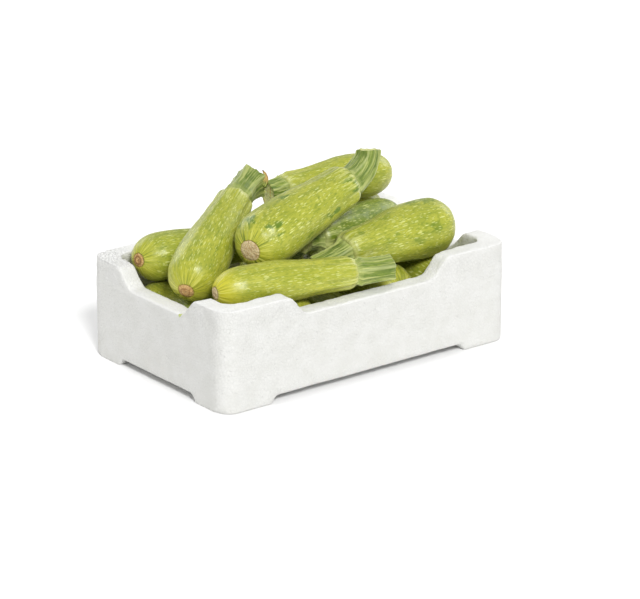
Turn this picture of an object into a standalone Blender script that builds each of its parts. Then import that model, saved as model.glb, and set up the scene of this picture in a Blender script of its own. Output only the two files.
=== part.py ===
"""A moulded white polystyrene produce box heaped with pale green courgettes.

Metres, +Z up. The origin is on the surface that the box stands on, under the middle of the box.
The box's long side runs along X, and its front is at -Y.
Each courgette is a fruit and the cut stem that grows out of it. They go into the box one at a
time, bottom layer first: a courgette is lowered at its own place and heading until it lies on
two points of what is below it, one on each side of its middle.
"""

import math

import bmesh
import bpy
import numpy as np
from mathutils import Euler, Matrix, Vector
from mathutils.bvhtree import BVHTree

# The box
BOX_LENGTH = 0.375
BOX_WIDTH = 0.240
BOX_HEIGHT = 0.110
WALL = 0.022
FLOOR = 0.018
OUTER_CORNER = 0.020
INNER_CORNER = 0.012
CORNER_STEPS = 5

# The dip in the rim of each wall: its depth, the width of its level floor, and the run of each ramp
DIP_DEPTH = 0.021
LONG_DIP = 0.160
SHORT_DIP = 0.088
RAMP = 0.026
RAMP_STEPS = 5

# The feet: what is left under the corners where the sides are raised off the ground
FOOT_HEIGHT = 0.008
FOOT_ALONG = 0.062
FOOT_ACROSS = 0.054
FOOT_SLANT = 0.004

# A courgette of the usual size
FRUIT_LENGTH = 0.142
FRUIT_DIAMETER = 0.060
SCAR_SHARE = 0.30
NOSE_SHARE = 0.22
STEM_LENGTH = 0.042
STEM_DIAMETER = 0.026
FRUIT_SIDES = 16
STEM_SIDES = 10

# Where along a fruit and along a stem its rings of points are, as shares of the length
RINGS = (0, 0.012, 0.035, 0.075, 0.13, 0.20, 0.30, 0.42, 0.55, 0.68, 0.80, 0.90, 0.965, 1)
STEM_RINGS = (0, 0.2, 0.5, 0.8, 1)

# How the courgettes lie on each other
CLEARANCE = 0.0004
SIDE_ROOM = 0.001
SAMPLE_STEP = 0.005
HOVER = 0.6
SETTLING_ROUNDS = 9
STEEPEST = math.radians(60)
MOST_TURN = math.radians(12)
REACH_BINS = 40

WHITE = (0.86, 0.86, 0.84, 1.0)
GREEN = (0.42, 0.52, 0.12, 1.0)
STEM_GREEN = (0.30, 0.42, 0.12, 1.0)

# Each courgette: its length and diameter against the usual ones, its neck against its own
# diameter, its stem against the usual one, its bend (the bow of its centre line, in metres), the
# turn of its stem towards the side that it bows to, its middle as shares of the box's inner half
# length and half width, its heading (0 points the stem at +X, 90 at +Y), its roll about its own
# length, and whether it may lie over the rim. Turn, heading and roll are in degrees.
HEAP = [
    # the layer on the floor
    (1.16, 0.97, 0.88, 0.5, 0.003, 0, -0.80, 0.10, -90, 0, False),
    (1.15, 1.04, 0.75, 0.5, 0.003, 0, -0.40, -0.10, 90, 180, False),
    (1.16, 1.08, 0.75, 0.5, 0.003, 0, 0.00, 0.10, -90, 0, False),
    (1.14, 1.07, 0.75, 0.5, 0.003, 0, 0.40, -0.10, 90, 180, False),
    (1.16, 1.07, 0.80, 0.5, 0.003, 0, 0.80, -0.10, 90, 0, False),
    # the layer on those
    (1.00, 0.87, 0.74, 0.9, 0.003, 0, -0.54, 0.64, -10, 0, False),
    (0.92, 0.94, 0.98, 0.5, 0.003, 0, 0.56, 0.76, 178, 0, False),
    (1.08, 0.80, 0.74, 1.0, 0.003, 6, -0.47, -0.82, -15, 0, True),
    (0.98, 1.07, 0.72, 1.0, 0.005, 0, 0.52, -0.56, 180, 0, False),
    (0.96, 0.94, 0.86, 0.4, 0.003, 0, 0.45, 0.01, 191, 0, False),
    # the top of the heap
    (1.00, 0.97, 0.72, 0.9, 0.004, -18, -0.62, 0.18, 29, 0, True),
    (0.98, 0.82, 0.74, 0.5, 0.003, 0, 0.51, 0.49, 179, 0, False),
    (1.06, 1.06, 0.76, 1.15, 0.004, 80, -0.155, -0.29, 5, 0, False),
]


def material(name, colour, roughness):
    """A Principled material of one colour."""
    made = bpy.data.materials.new(name)
    made.use_nodes = True
    shader = made.node_tree.nodes["Principled BSDF"]
    shader.inputs["Base Color"].default_value = colour
    shader.inputs["Roughness"].default_value = roughness
    return made


def mesh_object(name, mesh, collection):
    made = bpy.data.objects.new(name, mesh)
    collection.objects.link(made)
    return made


def new_collection(name):
    made = bpy.data.collections.new(name)
    bpy.context.scene.collection.children.link(made)
    return made


def rounded_block(name, size, bottom, radius, collection):
    """An upright block with rounded vertical edges, centred on the Z axis, standing on bottom."""
    shape = bmesh.new()
    bmesh.ops.create_cube(shape, size=1.0)
    bmesh.ops.scale(shape, vec=size, verts=shape.verts)
    bmesh.ops.translate(shape, vec=(0, 0, bottom + size[2] / 2), verts=shape.verts)
    upright = [
        edge for edge in shape.edges
        if abs(edge.verts[0].co.z - edge.verts[1].co.z) > size[2] / 2
    ]
    bmesh.ops.bevel(
        shape, geom=upright, offset=radius, offset_type="OFFSET",
        segments=CORNER_STEPS, profile=0.5, affect="EDGES",
    )
    mesh = bpy.data.meshes.new(name)
    shape.to_mesh(mesh)
    shape.free()
    return mesh_object(name, mesh, collection)


def prism(name, outline, length, along_x, collection):
    """A prism of the (sideways, height) outline, centred on the origin, running along X or Y."""
    shape = bmesh.new()
    near = []
    for sideways, height in outline:
        place = (-length / 2, sideways, height) if along_x else (sideways, -length / 2, height)
        near.append(shape.verts.new(place))
    face = shape.faces.new(near)
    move = (length, 0, 0) if along_x else (0, length, 0)
    far = bmesh.ops.extrude_face_region(shape, geom=[face])
    moved = [item for item in far["geom"] if isinstance(item, bmesh.types.BMVert)]
    bmesh.ops.translate(shape, vec=move, verts=moved)
    bmesh.ops.recalc_face_normals(shape, faces=shape.faces)
    mesh = bpy.data.meshes.new(name)
    shape.to_mesh(mesh)
    shape.free()
    return mesh_object(name, mesh, collection)


def dip_outline(level_width):
    """The dip in a wall's rim: level in the middle, with an S-shaped ramp up to each side."""
    low = BOX_HEIGHT - DIP_DEPTH
    ramp = []
    for step in range(RAMP_STEPS + 1):
        share = step / RAMP_STEPS
        rise = (1 - math.cos(math.pi * share)) / 2
        ramp.append((level_width / 2 + RAMP * share, low + DIP_DEPTH * rise))
    top = BOX_HEIGHT + WALL
    right = [*ramp, (ramp[-1][0], top)]
    left = [(-sideways, height) for sideways, height in reversed(right)]
    return right + left


def foot_gap_outline(side, foot):
    """The gap under a side, between its two feet, with slanted ends."""
    half = side / 2 - foot
    below = -FOOT_HEIGHT
    slant = FOOT_SLANT * 2
    return [
        (half + slant, below), (half - FOOT_SLANT, FOOT_HEIGHT),
        (FOOT_SLANT - half, FOOT_HEIGHT), (-half - slant, below),
    ]


def cut(body, cutter):
    cutter.hide_render = True
    cutter.display_type = "WIRE"
    modifier = body.modifiers.new(cutter.name, "BOOLEAN")
    modifier.operation = "DIFFERENCE"
    modifier.object = cutter


def make_box(parts, cutters):
    body = rounded_block(
        "box", (BOX_LENGTH, BOX_WIDTH, BOX_HEIGHT), 0, OUTER_CORNER, parts)
    inside = rounded_block(
        "inside", (inner_length(), inner_width(), BOX_HEIGHT),
        FOOT_HEIGHT + FLOOR, INNER_CORNER, cutters)
    past = 2 * BOX_LENGTH
    cut(body, inside)
    cut(body, prism("long_dips", dip_outline(LONG_DIP), past, False, cutters))
    cut(body, prism("short_dips", dip_outline(SHORT_DIP), past, True, cutters))
    cut(body, prism(
        "long_foot_gap", foot_gap_outline(BOX_LENGTH, FOOT_ALONG), past, False, cutters))
    cut(body, prism(
        "short_foot_gap", foot_gap_outline(BOX_WIDTH, FOOT_ACROSS), past, True, cutters))
    body.data.materials.append(material("polystyrene", WHITE, 0.7))
    return body


def inner_length():
    return BOX_LENGTH - 2 * WALL


def inner_width():
    return BOX_WIDTH - 2 * WALL


def girth(share, neck):
    """The fruit's radius at a share of its length, against its widest: 0 is the blossom scar, and
    the neck at the stem is this share of the widest."""
    nose = min((share + SCAR_SHARE**2 * NOSE_SHARE / 2) / NOSE_SHARE, 1)
    rounded = (1 - (1 - nose) ** 2.2) ** 0.5
    slim = min(max((share - 0.30) / 0.62, 0), 1)
    taper = 1 - (1 - neck) * slim * slim * (3 - 2 * slim)
    shoulder = max(share - 0.94, 0) / 0.06
    return rounded * taper * (1 - 0.20 * shoulder * shoulder)


def spine(share, length, bend):
    """A point of the fruit's centre line, which runs along X and bows towards +Z."""
    return Vector((length * (share - 0.5), 0, 4 * bend * share * (1 - share)))


def tube(name, points, radii, sides, collection):
    """A closed tube of varying radius along the points."""
    curve = bpy.data.curves.new(name, "CURVE")
    curve.dimensions = "3D"
    curve.bevel_depth = max(radii)
    curve.bevel_resolution = (sides - 4) // 2
    curve.use_fill_caps = True
    line = curve.splines.new("POLY")
    line.points.add(len(points) - 1)
    for place, point, radius in zip(line.points, points, radii):
        place.co = (*point, 1)
        place.radius = radius / max(radii)
    for item in curve.splines:
        item.use_smooth = True
    made = bpy.data.objects.new(name, curve)
    collection.objects.link(made)
    return made


def make_courgette(number, length, radius, neck, bend, stem_length, lean, skins, collection):
    """A fruit along X about its middle, and its stem at the +X end. Returns the two objects."""
    points = [spine(share, length, bend) for share in RINGS]
    radii = [radius * girth(share, neck) for share in RINGS]
    fruit = tube(f"courgette_{number:02d}", points, radii, FRUIT_SIDES, collection)
    along = (points[-1] - points[-2]).normalized()
    stem_points = [points[-1] + along * CLEARANCE]
    for before, share in zip(STEM_RINGS, STEM_RINGS[1:]):
        turned = Euler((0, -lean * before / STEM_RINGS[-2], 0)).to_matrix() @ along
        stem_points.append(stem_points[-1] + turned * stem_length * (share - before))
    stem_radii = [STEM_DIAMETER / 2 * wide for wide in (1.15, 0.98, 0.92, 0.95, 1.05)]
    stem = tube(f"stem_{number:02d}", stem_points, stem_radii, STEM_SIDES, collection)
    for made, skin in zip((fruit, stem), skins):
        made.data.materials.append(skin)
    return fruit, stem


def surface_of(objects):
    """(points, triangles) of the objects as evaluated, in world space."""
    bpy.context.view_layer.update()
    graph = bpy.context.evaluated_depsgraph_get()
    all_points, all_triangles, count = [], [], 0
    for item in objects:
        evaluated = item.evaluated_get(graph)
        mesh = evaluated.to_mesh()
        mesh.calc_loop_triangles()
        points = np.array([item.matrix_world @ vertex.co for vertex in mesh.vertices])
        triangles = np.array([triangle.vertices[:] for triangle in mesh.loop_triangles])
        evaluated.to_mesh_clear()
        all_points.append(points)
        all_triangles.append(triangles + count)
        count += len(points)
    return np.concatenate(all_points), np.concatenate(all_triangles)


def samples_of(points, triangles):
    """The points, and more along each edge so that no two neighbours lie SAMPLE_STEP apart."""
    ends = np.concatenate([triangles[:, [0, 1]], triangles[:, [1, 2]], triangles[:, [2, 0]]])
    ends = np.unique(np.sort(ends, axis=1), axis=0)
    first, second = points[ends[:, 0]], points[ends[:, 1]]
    pieces = np.ceil(np.linalg.norm(second - first, axis=1) / SAMPLE_STEP).astype(int)
    found = [points]
    for count in np.unique(pieces[pieces > 1]):
        some = pieces == count
        for step in range(1, count):
            share = step / count
            found.append(first[some] * (1 - share) + second[some] * share)
    return np.concatenate(found)


class Pile:
    """What is in place already: its surface, for rays, and points all over it."""

    def __init__(self, objects):
        self.points, self.triangles = surface_of(objects)
        self.samples = samples_of(self.points, self.triangles)

    def add(self, points, triangles):
        self.triangles = np.concatenate([self.triangles, triangles + len(self.points)])
        self.points = np.concatenate([self.points, points])
        self.samples = np.concatenate([self.samples, samples_of(points, triangles)])

    def tree(self):
        return BVHTree.FromPolygons(self.points.tolist(), self.triangles.tolist())


def gaps_below(points, triangles, samples, pile, tree):
    """Where the shape above would meet the pile if it were lowered: places and heights to fall."""
    down, up = Vector((0, 0, -1)), Vector((0, 0, 1))
    places, falls = [], []
    for sample in samples:
        distance = tree.ray_cast(Vector(sample), down)[3]
        if distance is not None:
            places.append(sample[:2])
            falls.append(distance)
    own = BVHTree.FromPolygons(points.tolist(), triangles.tolist())
    low, high = points.min(axis=0), points.max(axis=0)
    under = pile.samples[
        (pile.samples[:, 0] > low[0]) & (pile.samples[:, 0] < high[0])
        & (pile.samples[:, 1] > low[1]) & (pile.samples[:, 1] < high[1])
    ]
    for sample in under:
        distance = own.ray_cast(Vector(sample), up)[3]
        if distance is not None:
            places.append(sample[:2])
            falls.append(distance)
    return np.array(places), np.array(falls)


def resting_line(reaches, falls):
    """How far the middle falls, and the slope it takes, when a bar comes to rest on two points
    one on each side of its middle. Each reach is a distance along the bar from its middle."""
    edges = np.linspace(reaches.min(), reaches.max(), REACH_BINS)
    bins = np.digitize(reaches, edges)
    nearest = [np.flatnonzero(bins == n)[falls[bins == n].argmin()] for n in np.unique(bins)]
    reaches, falls = reaches[nearest], falls[nearest]
    before, after = reaches < 0, reaches >= 0
    if not before.any() or not after.any():
        return falls.min(), 0.0
    left, right = reaches[before][:, None], reaches[after][None, :]
    left_fall, right_fall = falls[before][:, None], falls[after][None, :]
    middle = (left_fall * right - right_fall * left) / (right - left)
    row, column = np.unravel_index(middle.argmin(), middle.shape)
    slope = (right_fall[0, column] - left_fall[row, 0]) / (right[0, column] - left[row, 0])
    return middle[row, column], slope


def move_within(low, high, limit):
    """The move that brings the span from low to high within the limit, either side of zero."""
    return np.clip(0, -limit - low, limit - high)


def lower(pieces, place, heading, roll, limit, pile):
    """Lowers the pieces together onto the pile, keeping them within the limit in plan. Returns
    the matrix that they end up with."""
    points, triangles = surface_of(pieces)
    samples = samples_of(points, triangles)
    tree = pile.tree()
    ahead = np.array((math.cos(heading), math.sin(heading)))
    pitch, fall = 0.0, 0.0
    for settling in range(SETTLING_ROUNDS):
        turn = Euler((roll, 0, 0)).to_matrix().to_4x4()
        turn = Euler((0, -pitch, 0)).to_matrix().to_4x4() @ turn
        turn = Euler((0, 0, heading)).to_matrix().to_4x4() @ turn
        turned = points @ np.array(turn)[:3, :3].T
        low, high = turned.min(axis=0)[:2] + place, turned.max(axis=0)[:2] + place
        middle = place + move_within(low, high, limit)
        above = Matrix.Translation((*middle, HOVER)) @ turn
        here = np.array(above)
        moved = turned + here[:3, 3]
        moved_samples = samples @ here[:3, :3].T + here[:3, 3]
        places, falls = gaps_below(moved, triangles, moved_samples, pile, tree)
        fall = falls.min() - CLEARANCE
        if settling == SETTLING_ROUNDS - 1:
            break
        slope = resting_line((places - middle) @ ahead, falls)[1]
        step = max(min(math.atan(slope), MOST_TURN), -MOST_TURN)
        pitch = max(min(pitch - step, STEEPEST), -STEEPEST)
    return Matrix.Translation((0, 0, -fall)) @ above


def fill(box, parts):
    """Puts the courgettes into the box, one after another."""
    skins = (material("skin", GREEN, 0.35), material("stem", STEM_GREEN, 0.6))
    pile = Pile([box])
    for number, row in enumerate(HEAP, 1):
        long, thick, neck, stem, bend, lean, along, across, heading, roll, over_rim = row
        radius = FRUIT_DIAMETER * thick / 2
        pieces = make_courgette(
            number, FRUIT_LENGTH * long, radius, neck, bend,
            STEM_LENGTH * stem, math.radians(lean), skins, parts)
        place = np.array((along * inner_length() / 2, across * inner_width() / 2))
        limit = np.array((inner_length() / 2, inner_width() / 2)) + WALL * over_rim - SIDE_ROOM
        matrix = lower(pieces, place, math.radians(heading), math.radians(roll), limit, pile)
        for piece in pieces:
            piece.matrix_world = matrix
        pile.add(*surface_of(pieces))


def main():
    for item in list(bpy.data.objects):
        bpy.data.objects.remove(item, do_unlink=True)
    parts = new_collection("courgettes_in_a_box")
    cutters = new_collection("cutters")
    cutters.hide_render = True
    fill(make_box(parts, cutters), parts)


main()
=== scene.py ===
"""Pale green courgettes heaped in a white moulded polystyrene box.

Each courgette and each cut stem is a dense ribbed skin laid round the core that the frame gives
it. The box is the frame's own block with its edges worn soft, one crumbled corner and dents.
"""

import math

import bmesh
import bpy
import numpy as np
from mathutils import Matrix, Vector, noise
from mathutils.bvhtree import BVHTree


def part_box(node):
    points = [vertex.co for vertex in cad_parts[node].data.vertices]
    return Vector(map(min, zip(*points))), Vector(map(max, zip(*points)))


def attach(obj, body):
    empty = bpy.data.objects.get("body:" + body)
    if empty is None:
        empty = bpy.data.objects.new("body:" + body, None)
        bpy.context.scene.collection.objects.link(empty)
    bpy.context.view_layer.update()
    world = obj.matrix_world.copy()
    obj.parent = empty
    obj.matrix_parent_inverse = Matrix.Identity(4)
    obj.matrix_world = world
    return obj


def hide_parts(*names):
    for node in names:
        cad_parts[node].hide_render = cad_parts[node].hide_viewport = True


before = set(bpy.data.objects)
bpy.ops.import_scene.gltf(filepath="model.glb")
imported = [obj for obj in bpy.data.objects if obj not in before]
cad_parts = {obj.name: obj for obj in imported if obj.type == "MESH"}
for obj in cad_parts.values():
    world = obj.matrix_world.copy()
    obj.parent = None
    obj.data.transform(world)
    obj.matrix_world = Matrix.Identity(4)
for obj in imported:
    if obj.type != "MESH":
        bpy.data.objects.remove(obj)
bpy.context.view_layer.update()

# ------------------------------------------------------------------ what each courgette looks like

# tone: 0 is the common yellow green, 1 the dark one. tip: how yellow the blossom end is.
# scar: what the blossom left, a ring with a nub, flat cork, or a blunt cone. wide: its size.
# patch, rays: how strong the dark patches are, and the dark rays round the scar.
# wry: how many degrees the blossom end is turned towards FRONT.
# stem, flare: the thickness of the stem and of its cut end. old: how dark the stem is.
# slant: how much further the stem reaches on the side of FRONT, and 0 leaves that to chance.
COMMON = {"tone": 0.10, "tip": 0.30, "scar": "ring", "patch": 0.3, "wry": 6, "flare": 1.0,
          "rays": 0.7, "wide": 1.0, "stem": 1.0, "slant": 0.0, "old": 0.1}
LOOKS = {
    6: {"tone": 0.25, "tip": 0.35, "scar": "ring", "patch": 0.2, "wry": 20, "rays": 0.9},
    8: {"tone": 0.00, "tip": 1.00, "scar": "cork", "patch": 0.2, "wry": 4},
    9: {"tone": 0.10, "tip": 0.10, "scar": "cork", "patch": 0.6},
    10: {"tone": 0.75, "tip": 0.10, "scar": "ring", "patch": 0.3},
    11: {"tone": 0.08, "tip": 0.35, "scar": "cone", "patch": 0.3, "wry": 8, "flare": 1.22,
         "stem": 1.12, "old": 0.28},
    12: {"tone": 0.05, "tip": 0.15, "scar": "cork", "patch": 0.1},
    13: {"tone": 0.10, "tip": 0.22, "scar": "cork", "patch": 0.9, "wry": 24, "rays": 1.0,
         "wide": 1.22, "flare": 0.84, "stem": 1.14, "slant": 0.0030, "old": 0.30},
}
FRONT = Vector((-0.575, -0.745, 0.338))  # towards the camera
RIGHT = Vector((0.791, -0.611, 0))  # to the camera's right

# Lengths are in metres, and shares run from 0 at the blossom end to 1 at the stem.
NOSE = 0.22  # share at which the rounded blossom end reaches the full thickness
WIDEST = 0.30  # share of the widest place
NECK = 0.93  # share at which the shoulder starts
TURNED = 0.20  # share of the fruit that a wry end takes with it
PIVOT = 0.15  # share of the place that it turns round
FLAT_ENOUGH = 0.985  # cosine of how far a face of a fruit's flat end may lean
SAME_WAY = 0.9995  # cosine within which two faces of a stem look the same way
FRUIT_SIDES = 112
FRUIT_RINGS = 88
FRUIT_RIBS = 10
SCAR_RINGS = 16
SCAR_PLEATS = 19
SCAR_SIZE = 0.97  # of the flat end
STEM_SIDES = 100
STEM_RINGS = 34
SKIN_RADIUS = 0.03  # radius at which a courgette's texture is laid out, whatever its own
STEM_SKIN_RADIUS = 0.013
TIP_LENGTH = 0.016  # the dried curl of stem
TIP_RINGS = 16
TIP_SIDES = 14
RIM = 0.0890  # height of the box's walls beside the raised corners
BOX_VOXEL = 0.0022
CRUMBLED = 0.034  # how far the crumbled corner reaches
UNDERSIDE = 0.002  # below this height the box stays flat
BEADS = 300  # polystyrene beads to a metre
SMEAR = (-0.1865, -0.043, 0.0885)  # where a courgette has marked the left rim


def look(number):
    return {**COMMON, **LOOKS.get(number, {})}


def smooth_step(low, high, value):
    value = min(max((value - low) / (high - low), 0), 1)
    return value * value * (3 - 2 * value)


# ------------------------------------------------------------------ reading the frame's solids

def solid_of(node):
    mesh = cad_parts[node].data
    points = [vertex.co.copy() for vertex in mesh.vertices]
    faces = [tuple(face.vertices) for face in mesh.polygons]
    return points, faces, BVHTree.FromPolygons(points, faces)


def flat_end(points, faces, along, least):
    """The middle, radius and outward normal of a solid's flat end that faces along."""
    corners, normal = {}, Vector()
    for face in faces:
        a, b, c = (points[i] for i in face[:3])
        cross = (b - a).cross(c - a)
        if cross.length > 1e-12 and cross.normalized().dot(along) > least:
            normal += cross
            for i in face:
                corners[tuple(round(x, 6) for x in points[i])] = points[i]
    middle = sum(corners.values(), Vector()) / len(corners)
    radius = sum((corner - middle).length for corner in corners.values()) / len(corners)
    return middle, radius, normal.normalized()


def flat_ways(points, faces):
    """The outward normals of a solid's two widest flat sides."""
    normals = []
    for face in faces:
        a, b, c = (points[i] for i in face[:3])
        cross = (b - a).cross(c - a)
        if cross.length > 1e-12:
            normals.append((cross.normalized(), cross.length))
    ways = []
    for _ in range(2):
        best = max(normals, key=lambda one: sum(
            area for way, area in normals if way.dot(one[0]) > SAME_WAY))[0]
        ways.append(best)
        normals = [one for one in normals if one[0].dot(best) <= SAME_WAY]
    return ways


def girth_at(tree, middle, side, across):
    """The mean radius there, and the middle of what the rays hit."""
    hits = []
    for k in range(32):
        angle = math.tau * k / 32
        way = side * math.cos(angle) + across * math.sin(angle)
        hit = tree.ray_cast(middle, way)
        if hit[0]:
            hits.append(hit[0])
    centre = sum(hits, Vector()) / len(hits)
    return sum((hit - centre).length for hit in hits) / len(hits), centre


class Fruit:
    """The core of a courgette: its bowed centre line, its widest radius and its neck."""

    def __init__(self, number):
        points, faces, tree = solid_of(f"courgette_{number:02d}")
        stem_points = solid_of(f"stem_{number:02d}")[0]
        middle = sum(points, Vector()) / len(points)
        towards = sum(stem_points, Vector()) / len(stem_points) - middle
        spread = np.array(points) - np.array(middle)
        along = Vector(np.linalg.svd(spread, full_matrices=False)[2][0])
        along = along if along.dot(towards) > 0 else -along
        self.start, _, _ = flat_end(points, faces, -along, FLAT_ENOUGH)
        self.end, _, _ = flat_end(points, faces, along, FLAT_ENOUGH)
        self.chord = self.end - self.start
        along = self.chord.normalized()
        side = along.orthogonal().normalized()
        half = (self.start + self.end) / 2
        _, centre = girth_at(tree, half, side, along.cross(side))
        self.bow = centre - half
        self.bow -= along * self.bow.dot(along)
        self.side = self.bow.normalized() if self.bow.length > 3e-4 else side
        self.length = self.chord.length
        self.radius = self.measured(tree, WIDEST)
        self.neck = self.measured(tree, NECK) / self.radius

    def wry(self, spot, share, degrees):
        """A point of the skin with the blossom end turned towards FRONT."""
        amount = smooth_step(TURNED, 0.0, share)
        if amount <= 0:
            return spot
        pivot, out = self.point(PIVOT), -self.axes(0)[0]
        turn = Matrix.Rotation(
            math.radians(degrees) * amount, 3, out.cross(FRONT).normalized())
        return pivot + turn @ (spot - pivot)

    def point(self, share):
        return self.start + self.chord * share + self.bow * (4 * share * (1 - share))

    def axes(self, share):
        along = (self.chord + self.bow * (4 * (1 - 2 * share))).normalized()
        side = (self.side - along * self.side.dot(along)).normalized()
        return along, side, along.cross(side)

    def measured(self, tree, share):
        _, side, across = self.axes(share)
        return girth_at(tree, self.point(share), side, across)[0]

    def girth(self, share):
        """The skin's radius at a share of the length, before its ribs and lumps."""
        nose = min((share + 0.0099) / NOSE, 1)
        rounded = (1 - (1 - nose) ** 2.2) ** 0.5
        taper = 1 - (1 - self.neck) * smooth_step(WIDEST, WIDEST + 0.62, share)
        shoulder = max(share - NECK, 0) / (1 - NECK)
        return self.radius * rounded * taper * (1 - 0.20 * shoulder**2.4)


# ------------------------------------------------------------------ meshes

def lump(place, size, seed):
    return noise.noise(Vector(place) / size + Vector((seed * 7.31, seed * 3.17, seed * 5.73)))


def skin_mesh(name, rings, first, last, skins, extra):
    """A closed skin through rings of points, with a middle point at each end. skins holds each
    point's place on the skin as a flat vector, and extra its other numbers by name."""
    sides = len(rings[0])
    points = [first] + [point for ring in rings for point in ring] + [last]
    faces = []
    for k in range(sides):
        n = (k + 1) % sides
        faces.append((0, 1 + n, 1 + k))
        for row in range(len(rings) - 1):
            a, b = 1 + row * sides, 1 + (row + 1) * sides
            faces.append((a + k, a + n, b + n, b + k))
        a = 1 + (len(rings) - 1) * sides
        faces.append((a + k, a + n, len(points) - 1))
    mesh = bpy.data.meshes.new(name)
    mesh.from_pydata(points, [], faces)
    mesh.polygons.foreach_set("use_smooth", [True] * len(faces))
    place = mesh.attributes.new("skin", "FLOAT_VECTOR", "POINT")
    place.data.foreach_set("vector", np.array(skins, np.float32).ravel())
    for key, numbers in extra.items():
        made = mesh.attributes.new(key, "FLOAT", "POINT")
        made.data.foreach_set("value", np.array(numbers, np.float32))
    piece = bpy.data.objects.new(name, mesh)
    bpy.context.scene.collection.objects.link(piece)
    return piece


def even_shares(fruit, count):
    """Shares of the length whose rings lie evenly along the skin."""
    fine = [(i / 1500) ** 1.5 for i in range(1501)]
    run, reach = [0.0], 0.0
    for a, b in zip(fine, fine[1:]):
        reach += math.hypot((b - a) * fruit.length, fruit.girth(b) - fruit.girth(a))
        run.append(reach)
    wanted = np.linspace(0, reach, count)
    return np.interp(wanted, run, fine), wanted


def scar_height(kind, reach, angle, place, seed):
    """How far the scar stands out. reach is a share of its radius."""
    rough = 0.00035 * lump(place, 0.0016, seed) + 0.0003 * lump(place, 0.0007, seed + 3)
    rim = -0.0007 * smooth_step(0.84, 0.97, reach)
    if kind == "ring":
        body = 0.0008 * (1 - reach * reach)
        ring = 0.0008 * math.exp(-(((reach - 0.52) / 0.12) ** 2))
        hollow = 0.0009 * math.exp(-((reach / 0.3) ** 2))
        nub = 0.0012 * math.exp(-((reach / 0.1) ** 2))
        return body + ring - hollow + nub + rim + rough
    crack = abs(lump((math.cos(angle) * 2, math.sin(angle) * 2, seed), 1.0, seed))
    crack = -0.0006 * smooth_step(0.10, 0.0, crack) * smooth_step(0.1, 0.5, reach)
    if kind == "cone":
        hollow = 0.0012 * math.exp(-((reach / 0.25) ** 2))
        return 0.0034 * (1 - reach**1.6) - hollow + rim + rough + crack
    return 0.0012 * (1 - reach**3) + 1.4 * rough + rim + crack


def make_fruit(number):
    fruit = Fruit(number)
    seed, kind, wry = number * 1.37, look(number)["scar"], look(number)["wry"]
    shares, reaches = even_shares(fruit, FRUIT_RINGS)
    angles = [math.tau * k / FRUIT_SIDES for k in range(FRUIT_SIDES)]
    usual = fruit.girth(0) * SCAR_SIZE
    scar = usual * look(number)["wide"]
    rings, skins, body = [], [(0, 0, 0)], [0.0]
    along, side, across = fruit.axes(0)

    def circle(angle):
        return (SKIN_RADIUS * math.cos(angle), SKIN_RADIUS * math.sin(angle))

    for i in range(1, SCAR_RINGS):
        reach, ring = i / SCAR_RINGS, []
        for angle in angles:
            way = side * math.cos(angle) + across * math.sin(angle)
            wave = 1 + 0.06 * lump((math.cos(angle), math.sin(angle), 0), 0.7, seed)
            flat = fruit.start + way * (scar * reach * (1 + (wave - 1) * reach))
            high = scar_height(kind, reach, angle, flat, seed)
            ring.append(fruit.wry(flat - along * high, 0, wry))
            skins.append((reach * scar, *circle(angle)))
            body.append(0.0)
        rings.append(ring)
    for share, run in zip(shares, reaches):
        centre = fruit.point(share)
        _, side_here, across_here = fruit.axes(share)
        radius, ring = fruit.girth(share), []
        for angle in angles:
            c, s = math.cos(angle), math.sin(angle)
            way = side_here * c + across_here * s
            spot = centre + way * radius
            waver = 0.8 * lump((c, s, share * 2), 0.8, seed)
            ribs = math.cos(FRUIT_RIBS * angle + seed + waver)
            lift = 0.00055 * ribs * smooth_step(0.45, 1.0, share) + 0.00012 * ribs
            lift += 0.0011 * lump(spot, 0.036, seed) + 0.00040 * lump(spot, 0.012, seed + 1)
            lift += 0.00016 * lump(spot, 0.0045, seed + 2)
            pleat = math.cos(SCAR_PLEATS * angle + 2.2 * lump((c, s, 1), 0.5, seed + 5))
            pleat *= 0.85 + 0.5 * lump((c * 2, s * 2, 0), 1, seed + 6)
            lift += 0.00050 * pleat * math.exp(-run / 0.009) * smooth_step(0, 0.003, run)
            wave = 0.06 * lump((c, s, 0), 0.7, seed) * math.exp(-run / 0.004) * scar
            lift += (scar - usual) * math.exp(-run / 0.006)
            if run < 1e-9:
                lift -= 0.0005
            ring.append(fruit.wry(centre + way * (radius * 0.988 + lift + wave), share, wry))
            skins.append((scar + run, *circle(angle)))
            body.append(share)
        rings.append(ring)
    along_end, side_end, across_end = fruit.axes(1)
    for reach in (0.92, 0.8, 0.6, 0.3):
        ring = []
        for angle in angles:
            way = side_end * math.cos(angle) + across_end * math.sin(angle)
            rise = 0.0009 * (1 - reach)
            ring.append(fruit.end + way * (fruit.girth(1) * reach * 0.988) + along_end * rise)
            skins.append((scar + reaches[-1] + (1 - reach) * fruit.girth(1), *circle(angle)))
            body.append(1.0)
        rings.append(ring)
    skins.append((scar + reaches[-1] + fruit.girth(1), 0, 0))
    body.append(1.0)
    nub = scar_height(kind, 0, 0, fruit.start, seed)
    piece = skin_mesh(
        f"courgette_skin_{number:02d}", rings, fruit.wry(fruit.start - along * nub, 0, wry),
        fruit.end + along_end * 0.0008, skins, {"share": body})
    return piece, fruit, scar


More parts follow.
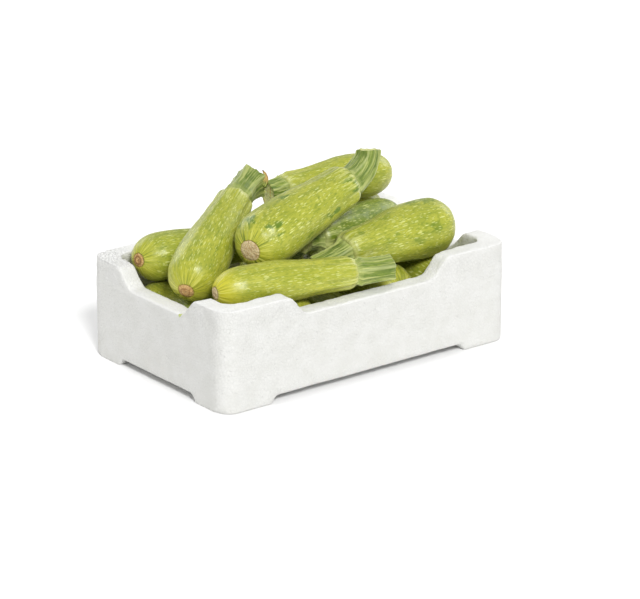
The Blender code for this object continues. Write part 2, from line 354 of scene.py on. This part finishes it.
class Stem:
    """The core of a cut stem: a curve from its base to its cut end."""

    def __init__(self, number, fruit):
        points, faces, _ = solid_of(f"stem_{number:02d}")
        along = fruit.axes(1)[0]
        back, out = sorted(flat_ways(points, faces), key=lambda way: way.dot(along))
        self.base, _, back = flat_end(points, faces, back, SAME_WAY)
        self.tip, self.tip_radius, self.out = flat_end(points, faces, out, SAME_WAY)
        self.away = -back
        self.length = (self.tip - self.base).length
        self.side = fruit.axes(1)[1]

    def at(self, share):
        """The centre line's point and its axes, along a curve that leaves and ends square."""
        t, pull = share, self.length
        a, b, c, d = 2*t**3 - 3*t*t + 1, t**3 - 2*t*t + t, -2*t**3 + 3*t*t, t**3 - t*t
        point = self.base * a + self.away * (pull * b) + self.tip * c + self.out * (pull * d)
        slope = (self.base * (6*t*t - 6*t) + self.away * (pull * (3*t*t - 4*t + 1))
                 + self.tip * (6*t - 6*t*t) + self.out * (pull * (3*t*t - 2*t)))
        along = slope.normalized()
        side = (self.side - along * self.side.dot(along)).normalized()
        return point, along, side, along.cross(side)


def make_stem(number, fruit):
    stem = Stem(number, fruit)
    seed = number * 2.11 + 40
    angles = [math.tau * k / STEM_SIDES for k in range(STEM_SIDES)]
    thick = stem.tip_radius / 1.05 * look(number)["stem"]
    slant = look(number)["slant"] or 0.0022 * lump((number, 0, 0), 1.7, 3)
    _, _, tip_side, tip_across = stem.at(1)
    slant_way = math.atan2(FRONT.dot(tip_across), FRONT.dot(tip_side))
    rings, skins, crest, cut = [], [], [], []

    flare = look(number)["flare"]
    foot = fruit.girth(1) / thick * 0.96
    shares = (0, 0.04, 0.10, 0.22, 0.5, 0.8, 0.97, 1)
    widths = (foot, foot * 0.97, 1.18, 1.08, 1.03, 1.02 + (flare - 1) * 0.7,
              1.06 * flare, 1.04 * flare)

    def circle(angle):
        return (STEM_SKIN_RADIUS * math.cos(angle), STEM_SKIN_RADIUS * math.sin(angle))

    def ridge(angle, share):
        turn = angle + 0.35 * (share - 0.5) * math.sin(seed) + 0.10 * lump(
            (math.cos(angle), math.sin(angle), share), 0.6, seed)
        five = 1 - abs(math.sin(2.5 * turn + seed)) ** 1.1
        ten = 1 - abs(math.sin(5 * turn + 2 * seed)) ** 0.8
        waver = 3 * lump((math.cos(angle), math.sin(angle), 2), 0.5, seed)
        fine = math.cos(31 * turn + waver)
        return 0.62 * five + 0.33 * ten + 0.05 * fine

    first = None
    for i in range(-1, STEM_RINGS + 1):
        share = max(i, 0) / STEM_RINGS
        point, along, side, across = stem.at(share)
        if i < 0:
            point = point - along * 0.0012
            first = point
        radius, ring = thick * float(np.interp(share, shares, widths)), []
        depth = 0.13 + 0.10 * (1 - smooth_step(0, 0.22, share))
        depth += 0.04 * smooth_step(0.8, 1, share)
        depth += 0.5 * max(flare - 1, 0) * smooth_step(0.2, 0.8, share)
        for angle in angles:
            way = side * math.cos(angle) + across * math.sin(angle)
            high = ridge(angle, share)
            spot = point + way * radius
            wide = radius * (1 + depth * (high - 0.52)) + 0.0003 * lump(spot, 0.005, seed)
            push = smooth_step(0.85, 1, share) * (
                slant * math.cos(angle - slant_way) + 0.0009 * lump(spot, 0.006, seed)
                - 0.0006 * (1 - high))
            if i == STEM_RINGS:
                wide *= 0.975
            ring.append(point + way * wide + along * push)
            skins.append((share * stem.length, *circle(angle)))
            crest.append(high)
            cut.append(0.0)
        rings.append(ring)
    point, along, side, across = stem.at(1)
    edge = rings[-1]
    for reach in (0.93, 0.85, 0.74, 0.6, 0.45, 0.3, 0.15):
        ring = []
        for k, angle in enumerate(angles):
            out = edge[k] - point
            flat = out - along * out.dot(along)
            rise = out.dot(along) * reach - 0.0010 * smooth_step(1, 0.8, reach)
            rise += 0.0005 * smooth_step(0.5, 0.1, reach)
            rise += 0.0004 * lump(point + out * reach, 0.0022, seed)
            ring.append(point + flat * reach + along * rise)
            skins.append((stem.length + (1 - reach) * thick, *(x * reach for x in circle(angle))))
            crest.append(reach)
            cut.append(1.0)
        rings.append(ring)
    skins = [(0, 0, 0)] + skins + [(stem.length + thick, 0, 0)]
    crest, cut = [0.0] + crest + [0.0], [0.0] + cut + [1.0]
    piece = skin_mesh(
        f"stem_skin_{number:02d}", rings, first, point - along * 0.0006, skins,
        {"crest": crest, "cut": cut})
    return piece, stem


def make_dry_tip(stem):
    """A dried curl of stem that stands up at the edge of a cut end."""
    point, along, _, _ = stem.at(1)
    sideways = (RIGHT - along * RIGHT.dot(along)).normalized()
    start = point + sideways * (stem.tip_radius * 1.14) - along * 0.005
    rise = (along * 0.35 + Vector((0, 0, 1))).normalized()
    rings, skins, crest, spine = [], [], [], []
    last = TIP_RINGS - 1
    for i in range(TIP_RINGS):
        t = i / last
        curl = 0.0035 * math.sin(2.6 * t) - 0.0045 * t * t
        spine.append(start + rise * (TIP_LENGTH * t) + sideways * curl)
    for i, centre in enumerate(spine):
        t = i / last
        ahead = (spine[min(i + 1, last)] - spine[max(i - 1, 0)]).normalized()
        side = (sideways - ahead * sideways.dot(ahead)).normalized()
        across, ring = ahead.cross(side), []
        for k in range(TIP_SIDES):
            angle = math.tau * k / TIP_SIDES + 1.8 * t
            wide = 0.0031 * (1 - t) ** 0.75 + 0.0004
            wide *= 1 + 0.35 * math.cos(3 * angle)
            way = side * math.cos(angle) + across * (0.62 * math.sin(angle))
            ring.append(centre + way * (wide + 0.0002 * lump(centre + way * wide, 0.0015, 8)))
            skins.append((TIP_LENGTH * t, 0.003 * math.cos(angle), 0.003 * math.sin(angle)))
            crest.append(t)
        rings.append(ring)
    skins = [(0, 0, 0)] + skins + [(TIP_LENGTH, 0, 0)]
    crest = [0.0] + crest + [1.0]
    return skin_mesh("stem_dry_tip_11", rings, spine[0], spine[-1], skins, {"crest": crest})


# ------------------------------------------------------------------ materials

def srgb(r, g, b):
    def linear(x):
        x /= 255
        return x / 12.92 if x <= 0.04045 else ((x + 0.055) / 1.055) ** 2.4
    return (linear(r), linear(g), linear(b), 1)


class Shader:
    """A material under construction. Inputs may be plain values or sockets of other nodes."""

    def __init__(self, name):
        self.material = bpy.data.materials.new(name)
        self.material.use_nodes = True
        self.tree = self.material.node_tree
        self.shader = self.tree.nodes["Principled BSDF"]

    def node(self, kind, inputs=(), **settings):
        made = self.tree.nodes.new(kind)
        for key, value in settings.items():
            setattr(made, key, value)
        for key, value in dict(inputs).items():
            self.put(made.inputs[key], value)
        return made

    def put(self, socket, value):
        if isinstance(value, bpy.types.NodeSocket):
            self.tree.links.new(value, socket)
        else:
            socket.default_value = value

    def math(self, operation, a, b=0.0):
        return self.node("ShaderNodeMath", {0: a, 1: b}, operation=operation).outputs[0]

    def scale_add(self, value, factor, more):
        return self.node(
            "ShaderNodeMath", {0: value, 1: factor, 2: more}, operation="MULTIPLY_ADD").outputs[0]

    def step(self, value, low, high):
        """0 below low and 1 above high, smooth between. It may run the other way."""
        if low > high:
            return self.math("SUBTRACT", 1.0, self.step(value, high, low))
        return self.node(
            "ShaderNodeMapRange", {0: value, 1: low, 2: high}, interpolation_type="SMOOTHSTEP",
        ).outputs[0]

    def mix(self, share, a, b):
        return self.node(
            "ShaderNodeMix", {0: share, 6: a, 7: b}, data_type="RGBA").outputs[2]

    def tint(self, colour, share, amount, rgb):
        """colour, with rgb mixed in by amount where share is 1."""
        return self.mix(self.math("MULTIPLY", share, amount), colour, srgb(*rgb))

    def attribute(self, name, output):
        return self.node("ShaderNodeAttribute", attribute_name=name).outputs[output]

    def stretch(self, vector, scale, shift=0.0):
        made = self.node("ShaderNodeVectorMath", {0: vector, 1: scale}, operation="MULTIPLY")
        return self.node(
            "ShaderNodeVectorMath", {0: made.outputs[0], 1: (shift, shift * 0.7, shift * 1.3)},
            operation="ADD").outputs[0]

    def noise(self, vector, scale, detail=2.0, roughness=0.5):
        return self.node("ShaderNodeTexNoise", {
            "Vector": vector, "Scale": scale, "Detail": detail, "Roughness": roughness}).outputs[0]

    def cells(self, vector, scale, feature="F1"):
        """Each cell's distance, and its colour where the feature has one."""
        made = self.node(
            "ShaderNodeTexVoronoi", {"Vector": vector, "Scale": scale}, feature=feature)
        return made.outputs["Distance"], made.outputs.get("Color")

    def bump(self, height, distance, strength=1.0):
        made = self.node("ShaderNodeBump", {
            "Height": height, "Distance": distance, "Strength": strength})
        self.put(self.shader.inputs["Normal"], made.outputs[0])

    def finish(self, **sockets):
        for name, value in sockets.items():
            self.put(self.shader.inputs[name.replace("_", " ")], value)
        return self.material


def flecks(shader, skin, stretch, scale, seed, size):
    """Small pale flecks drawn out along the fruit, of mixed sizes."""
    place = shader.stretch(skin, (stretch, 1, 1), seed)
    distance, colour = shader.cells(place, scale)
    chance = shader.node("ShaderNodeSeparateColor", {0: colour}).outputs[0]
    inside = shader.math("SUBTRACT", shader.scale_add(chance, size, 0.02), distance)
    return shader.step(inside, -0.05, 0.06)


# The greens of a courgette from light to darkest, for tone 0 and tone 1.
GREENS = (
    ((187, 187, 71), (132, 150, 50)),
    ((157, 163, 49), (92, 118, 34)),
    ((120, 138, 40), (66, 92, 24)),
)
PATCH_GREEN = (88, 118, 24)
FLECK = (216, 221, 138)
TIP_YELLOW = (214, 205, 48)
PALE_RAY, DARK_RAY = (216, 216, 112), (84, 108, 26)
PALE_RIB, PALE_EDGE = (213, 217, 140), (205, 208, 138)
CORK = ((188, 164, 112), (220, 204, 168))  # a flat cork scar, dark and light
TAN = ((176, 134, 72), (214, 180, 126))  # the other scars


def skin_colour(shader, skin, kind, seed):
    """Broad tones, then long streaks, a fine drawn-out mottle and darker patches."""
    light, dark, deep = (
        tuple(a + (b - a) * kind["tone"] for a, b in zip(*pair)) for pair in GREENS)
    cloud = shader.noise(shader.stretch(skin, (0.7, 1, 1), seed), 42, 3, 0.6)
    colour = shader.mix(shader.step(cloud, 0.15, 0.85), srgb(*dark), srgb(*light))
    streak = shader.noise(shader.stretch(skin, (0.10, 1, 1), seed + 5), 190, 3, 0.62)
    colour = shader.tint(colour, shader.step(streak, 0.50, 0.34), 0.42, deep)
    mottle = shader.noise(shader.stretch(skin, (0.35, 1, 1), seed + 9), 620, 2, 0.6)
    colour = shader.tint(colour, shader.step(mottle, 0.52, 0.36), 0.55, deep)
    patch = shader.noise(shader.stretch(skin, (0.55, 1, 1), seed + 2), 75, 2, 0.5)
    patch = shader.step(patch, 0.58, 0.68)
    return shader.tint(colour, patch, kind["patch"], PATCH_GREEN), mottle


def skin_flecks(shader, skin, seed):
    """Pale flecks in rows, large and small."""
    rows = shader.noise(shader.stretch(skin, (0.04, 1, 1), seed + 3), 120, 2, 0.5)
    rows = shader.scale_add(shader.step(rows, 0.38, 0.58), 0.5, 0.5)
    large = shader.math("MULTIPLY", flecks(shader, skin, 0.22, 400, seed + 1, 0.33), rows)
    small = shader.math("MULTIPLY", flecks(shader, skin, 0.26, 620, seed + 4, 0.38), 0.62)
    return shader.math("MAXIMUM", large, small)


def skin_material(number, scar):
    kind, seed = look(number), number * 0.731
    shader = Shader(f"courgette_skin_{number:02d}")
    skin = shader.attribute("skin", "Vector")
    share = shader.attribute("share", "Fac")
    place = shader.node("ShaderNodeTexCoord").outputs["Object"]
    reach = shader.node("ShaderNodeSeparateXYZ", {0: skin}).outputs[0]

    colour, mottle = skin_colour(shader, skin, kind, seed)
    spots = skin_flecks(shader, skin, seed)
    shown = shader.math("MULTIPLY", shader.step(reach, scar + 0.004, scar + 0.022), spots)
    colour = shader.tint(colour, shown, 0.76, FLECK)

    # the blossom end: a yellow flush, dark and pale rays
    flush = shader.step(reach, scar + 0.034, scar + 0.002)
    colour = shader.tint(colour, flush, kind["tip"] * 0.75, TIP_YELLOW)
    rays = shader.noise(shader.stretch(skin, (0.05, 1, 1), seed + 7), 230, 2, 0.7)
    fade = shader.step(reach, scar + 0.024, scar + 0.003)
    pale_ray = shader.math("MULTIPLY", shader.step(rays, 0.52, 0.64), fade)
    colour = shader.tint(colour, pale_ray, 0.65, PALE_RAY)
    dark_ray = shader.math("MULTIPLY", shader.step(rays, 0.47, 0.36), fade)
    colour = shader.tint(colour, dark_ray, kind["rays"] * (1 - 0.5 * kind["tip"]), DARK_RAY)

    # the stem end: pale ribs and a pale edge
    ribs = shader.noise(shader.stretch(skin, (0.05, 1, 1), seed + 11), 260, 2, 0.6)
    pale = shader.math("MULTIPLY", shader.step(ribs, 0.46, 0.62), shader.step(share, 0.80, 0.99))
    colour = shader.tint(colour, pale, 0.6, PALE_RIB)
    colour = shader.tint(colour, shader.step(share, 0.965, 1.0), 0.55, PALE_EDGE)

    # the corky scar, with an uneven border
    cork = shader.noise(place, 900, 4, 0.65)
    grain = shader.noise(place, 260, 2, 0.5)
    brown, pale_brown = CORK if kind["scar"] == "cork" else TAN
    tan = shader.mix(shader.step(cork, 0.35, 0.65), srgb(*brown), srgb(*pale_brown))
    tan = shader.tint(tan, shader.step(grain, 0.52, 0.66), 0.5, (150, 104, 56))
    amount = {"ring": 0.75, "cone": 0.45, "cork": 0.12}[kind["scar"]]
    ring = shader.math("ABSOLUTE", shader.math("SUBTRACT", reach, scar * 0.52))
    tan = shader.tint(tan, shader.step(ring, 0.0015, 0.0003), amount, (122, 76, 34))
    tan = shader.tint(tan, shader.step(reach, 0.0016, 0.0006), amount, (104, 66, 34))
    ragged = shader.math("MULTIPLY", shader.math("SUBTRACT", cork, 0.5), 0.0022)
    edge = shader.math("ADD", reach, ragged)
    on_scar = shader.step(edge, scar + 0.0004, scar - 0.0006)
    colour = shader.mix(on_scar, colour, tan)
    border = shader.math("ABSOLUTE", shader.math("SUBTRACT", edge, scar))
    colour = shader.tint(colour, shader.step(border, 0.0010, 0.0002), 0.55, (140, 112, 44))

    fine = shader.noise(place, 1500, 2, 0.6)
    height = shader.math("MULTIPLY", spots, 0.35)
    height = shader.scale_add(fine, 0.22, height)
    height = shader.scale_add(mottle, 0.45, height)
    height = shader.scale_add(shader.math("MULTIPLY", cork, on_scar), 1.6, height)
    shader.bump(height, 0.00035, 0.7)
    rough = shader.scale_add(on_scar, 0.45, shader.scale_add(mottle, 0.22, 0.22))
    return shader.finish(
        Base_Color=colour, Roughness=rough, Specular_IOR_Level=0.42, Sheen_Weight=0.12,
        Sheen_Roughness=0.4, Sheen_Tint=srgb(226, 230, 190))


def stem_material(number):
    kind, seed = look(number), number * 0.517 + 3
    shader = Shader(f"courgette_stem_{number:02d}")
    skin = shader.attribute("skin", "Vector")
    crest = shader.attribute("crest", "Fac")
    cut = shader.attribute("cut", "Fac")
    place = shader.node("ShaderNodeTexCoord").outputs["Object"]
    reach = shader.node("ShaderNodeSeparateXYZ", {0: skin}).outputs[0]

    # the green outside, pale on its ridges and at its foot
    cloud = shader.noise(place, 95, 3, 0.6)
    green = shader.mix(shader.step(cloud, 0.35, 0.65), srgb(98, 122, 40), srgb(140, 157, 62))
    fibre = shader.noise(shader.stretch(skin, (0.06, 1, 1), seed), 620, 3, 0.65)
    green = shader.mix(shader.step(fibre, 0.44, 0.60), green, srgb(190, 196, 118))
    dark = shader.noise(shader.stretch(skin, (0.05, 1, 1), seed + 4), 330, 2, 0.6)
    green = shader.tint(green, shader.step(dark, 0.50, 0.34), 0.75, (78, 102, 32))
    green = shader.tint(
        green, shader.step(crest, 0.45, 0.95), 0.55 - 0.2 * kind["tone"], (202, 208, 142))
    green = shader.tint(green, shader.step(crest, 0.30, 0.05), 0.60, (84, 108, 34))
    green = shader.tint(green, shader.step(reach, 0.007, 0.0), 0.5, (196, 204, 124))
    green = shader.mix(kind["old"], green, srgb(84, 106, 38))

    # the pale flesh of the cut end, with a green rim and brown scabs
    pith = shader.noise(place, 700, 3, 0.6)
    flesh = shader.mix(shader.step(pith, 0.35, 0.65), srgb(196, 200, 116), srgb(224, 224, 160))
    flesh = shader.tint(flesh, shader.step(crest, 0.80, 0.97), 0.8, (150, 160, 70))
    scab = shader.step(shader.noise(place, 240, 2, 0.5), 0.58, 0.7)
    flesh = shader.tint(flesh, scab, 0.6, (196, 158, 84))
    colour = shader.mix(cut, green, flesh)

    height = shader.scale_add(dark, 0.7, shader.math("MULTIPLY", fibre, 0.9))
    shader.bump(shader.scale_add(pith, 0.3, height), 0.0006, 0.8)
    return shader.finish(
        Base_Color=colour, Roughness=shader.scale_add(fibre, 0.25, 0.38),
        Specular_IOR_Level=0.35, Sheen_Weight=0.25, Sheen_Roughness=0.4,
        Sheen_Tint=srgb(228, 232, 196))


def dry_material():
    shader = Shader("courgette_stem_dry")
    skin, crest = shader.attribute("skin", "Vector"), shader.attribute("crest", "Fac")
    fibre = shader.noise(shader.stretch(skin, (0.1, 1, 1), 3), 1500, 3, 0.6)
    brown = shader.mix(shader.step(fibre, 0.4, 0.62), srgb(150, 108, 52), srgb(214, 186, 112))
    green = shader.mix(shader.step(fibre, 0.4, 0.62), srgb(104, 124, 44), srgb(176, 180, 92))
    colour = shader.mix(shader.step(crest, 0.1, 0.5), green, brown)
    colour = shader.mix(shader.step(crest, 0.8, 1.0), colour, srgb(96, 64, 30))
    shader.bump(fibre, 0.0005, 0.8)
    return shader.finish(Base_Color=colour, Roughness=0.7)


def box_material():
    """White beads pressed together, with the faces that look up painted lighter as painted light
    from above. The attributes for wear and for that painted light come from make_box.
    """
    shader = Shader("polystyrene_beads")
    place = shader.node("ShaderNodeTexCoord").outputs["Object"]
    worn, painted_top_light = shader.attribute("worn", "Fac"), shader.attribute("painted_top_light", "Fac")
    warp = shader.noise(place, 60, 2, 0.5)
    gap, _ = shader.cells(place, BEADS, "DISTANCE_TO_EDGE")
    centre, chance = shader.cells(place, BEADS)
    white = shader.mix(shader.step(warp, 0.3, 0.7), srgb(213, 213, 209), srgb(218, 218, 215))
    chance = shader.node("ShaderNodeSeparateColor", {0: chance}).outputs[0]
    white = shader.tint(white, chance, 0.10, (198, 198, 192))
    white = shader.tint(white, shader.step(gap, 0.05, 0.0), 0.16, (190, 190, 184))
    low = shader.node("ShaderNodeSeparateXYZ", {0: place}).outputs[2]
    grime = shader.step(shader.noise(place, 14, 4, 0.7), 0.55, 0.75)
    grime = shader.math("MULTIPLY", grime, shader.step(low, 0.05, 0.0))
    white = shader.tint(white, grime, 0.30, (198, 192, 176))
    white = shader.tint(white, worn, 0.25, (232, 232, 230))
    # painted light: faces that look up are tinted lighter, a painted highlight on the box's top
    white = shader.tint(white, painted_top_light, 0.85, (238, 238, 236))
    smear = shader.node(
        "ShaderNodeVectorMath", {0: place, 1: SMEAR}, operation="DISTANCE").outputs["Value"]
    smear = shader.scale_add(shader.noise(place, 500, 2, 0.5), 0.004, smear)
    white = shader.tint(white, shader.step(smear, 0.0052, 0.0036), 0.8, (176, 190, 60))

    height = shader.math("MULTIPLY", shader.step(gap, 0.0, 0.12), 0.5)
    height = shader.scale_add(centre, -0.5, height)
    height = shader.math("MULTIPLY", height, shader.scale_add(worn, 1.5, 0.60))
    pits = shader.step(shader.noise(place, 420, 2, 0.5), 0.36, 0.28)
    shader.bump(shader.scale_add(pits, -0.5, height), 0.0007, 0.8)
    return shader.finish(
        Base_Color=white, Roughness=shader.scale_add(warp, 0.2, 0.55), Specular_IOR_Level=0.3)


# ------------------------------------------------------------------ the box

def even_block():
    """The frame's box as one evenly meshed block with soft edges."""
    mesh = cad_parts["box"].data.copy()
    shape = bmesh.new()
    shape.from_mesh(mesh)
    bmesh.ops.remove_doubles(shape, verts=shape.verts, dist=1e-5)
    shape.to_mesh(mesh)
    shape.free()
    block = bpy.data.objects.new("block", mesh)
    bpy.context.scene.collection.objects.link(block)
    remesh = block.modifiers.new("even", "REMESH")
    remesh.mode, remesh.voxel_size, remesh.use_smooth_shade = "VOXEL", BOX_VOXEL, True
    soften = block.modifiers.new("soften", "SMOOTH")
    soften.factor, soften.iterations = 0.5, 7
    graph = bpy.context.evaluated_depsgraph_get()
    shell = bpy.data.meshes.new_from_object(block.evaluated_get(graph))
    bpy.data.objects.remove(block)
    shell.name = "polystyrene_box"
    shell.materials.clear()
    return shell


def make_box():
    low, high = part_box("box")
    shell = even_block()
    corner = Vector((low.x + 0.014, high.y - 0.014, high.z))
    dents = [  # place, size and depth
        (Vector((low.x, -0.020, 0.035)), 0.008, 0.0010),
        (Vector((low.x, 0.060, 0.034)), 0.006, 0.0005),
        (Vector((0.030, low.y, 0.052)), 0.010, 0.0008),
        (Vector((-0.120, low.y, 0.024)), 0.006, 0.0006),
        (Vector((0.110, high.y, 0.060)), 0.009, 0.0010),
        (Vector((high.x, 0.050, 0.050)), 0.008, 0.0008),
    ]
    worn, moved = [], []
    places = [vertex.co.copy() for vertex in shell.vertices]
    normals = [vertex.normal.copy() for vertex in shell.vertices]
    for co, normal in zip(places, normals):
        top = smooth_step(RIM - 0.006, RIM + 0.001, co.z)
        raised = smooth_step(high.z - 0.004, high.z - 0.001, co.z)
        away = Vector((co.x - corner.x, (co.y - corner.y) * 0.55)).length
        crumble = min(max(0.0, 1 - away / CRUMBLED) * raised * 1.6, 1)
        move = 0.00035 * lump(co, 0.045, 1) + 0.00012 * lump(co, 0.010, 2)
        move += top * (0.0007 * lump(co, 0.012, 3) + 0.0004 * lump(co, 0.0045, 4) - 0.0004)
        beads = 0.0013 * lump(co, 0.0042, 5) + 0.0008 * lump(co, 0.0025, 6)
        move += crumble * (beads - 0.0010)
        for middle, size, depth in dents:
            move -= depth * math.exp(-(((co - middle).length / size) ** 2))
        if co.z < UNDERSIDE:
            move = min(move, 0) * 0.2
        moved.append(co + normal * move)
        worn.append(min(1.0, 0.10 * top + 0.9 * crumble))
    shell.vertices.foreach_set("co", np.array(moved, np.float32).ravel())
    # how far each face looks up, for the painted light on the box's top faces
    painted_top_light = [smooth_step(0.3, 0.9, normal.z) for normal in normals]
    for key, numbers in (("worn", worn), ("painted_top_light", painted_top_light)):
        mark = shell.attributes.new(key, "FLOAT", "POINT")
        mark.data.foreach_set("value", np.array(numbers, np.float32))
    shell.materials.append(box_material())
    piece = bpy.data.objects.new("polystyrene_box", shell)
    bpy.context.scene.collection.objects.link(piece)
    return piece


# ------------------------------------------------------------------ put together

box_piece = make_box()
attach(box_piece, "root")
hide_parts("box")

for number in range(1, 14):
    fruit_piece, fruit, scar = make_fruit(number)
    fruit_piece.data.materials.append(skin_material(number, scar))
    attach(fruit_piece, "root")
    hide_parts(f"courgette_{number:02d}")
    stem_piece, stem = make_stem(number, fruit)
    stem_piece.data.materials.append(stem_material(number))
    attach(stem_piece, "root")
    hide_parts(f"stem_{number:02d}")
    if number == 11:
        dry_tip = make_dry_tip(stem)
        dry_tip.data.materials.append(dry_material())
        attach(dry_tip, "root")

# ------------------------------------------------------------------ floor, light and camera

# The camera was fitted to the corners of the box in the photograph.
FLOOR, FLOOR_WHITE, SKY_STRENGTH = 9, 0.96, 0.54
KEY_WAY, KEY_STRENGTH, KEY_ANGLE = Vector((0.31, 0.72, -0.62)), 2.3, 13
LENS, SENSOR, CAMERA_DISTANCE = 195.2, 36, 3.653
CAMERA_RIGHT = Vector((0.7914, -0.6113, 0))
CAMERA_UP = Vector((0.2069, 0.2678, 0.9410))
CAMERA_BACK = Vector((-0.5752, -0.7446, 0.3384))
HEAP = Vector((0, 0, 0.08))
AIM = Vector((0, 0, 0.09)) + CAMERA_RIGHT * 0.0206 - CAMERA_UP * 0.0365

floor_mesh = bpy.data.meshes.new("floor")
floor_mesh.from_pydata(
    [(-FLOOR, -FLOOR, 0), (FLOOR, -FLOOR, 0), (FLOOR, FLOOR, 0), (-FLOOR, FLOOR, 0)],
    [], [(0, 1, 2, 3)])
floor = bpy.data.objects.new("floor", floor_mesh)
bpy.context.scene.collection.objects.link(floor)
ground = Shader("pale_floor")
floor_mesh.materials.append(ground.finish(
    Base_Color=(FLOOR_WHITE, FLOOR_WHITE, FLOOR_WHITE, 1), Roughness=0.9))


def lamp(name, place, size, power):
    """A round soft lamp that faces the heap."""
    light = bpy.data.lights.new(name, "AREA")
    light.shape, light.size, light.energy = "DISK", size, power
    held = bpy.data.objects.new(name, light)
    held.location = place
    way = HEAP - Vector(place)
    held.rotation_euler = way.to_track_quat("-Z", "Y").to_euler()
    bpy.context.scene.collection.objects.link(held)


key = bpy.data.lights.new("key", "SUN")
key.energy, key.angle = KEY_STRENGTH, math.radians(KEY_ANGLE)
key_held = bpy.data.objects.new("key", key)
key_held.rotation_euler = KEY_WAY.to_track_quat("-Z", "Y").to_euler()
bpy.context.scene.collection.objects.link(key_held)
lamp("side", (2.1, 0.3, 1.1), 1.3, 13)
lamp("back", (-0.3, 2.1, 1.2), 1.5, 15)

world = bpy.data.worlds.new("soft_studio")
world.use_nodes = True
sky = world.node_tree.nodes["Background"]
sky.inputs["Color"].default_value = (1, 1, 1, 1)
sky.inputs["Strength"].default_value = SKY_STRENGTH
bpy.context.scene.world = world
bpy.context.scene.view_settings.view_transform = "Standard"

lens = bpy.data.cameras.new("camera")
lens.sensor_width, lens.lens, lens.clip_end = SENSOR, LENS, 50
camera = bpy.data.objects.new("camera", lens)
camera_turn = Matrix((CAMERA_RIGHT, CAMERA_UP, CAMERA_BACK)).transposed()
camera_place = AIM + CAMERA_BACK * CAMERA_DISTANCE
camera.matrix_world = Matrix.Translation(camera_place) @ camera_turn.to_4x4()
bpy.context.scene.collection.objects.link(camera)
bpy.context.scene.camera = camera
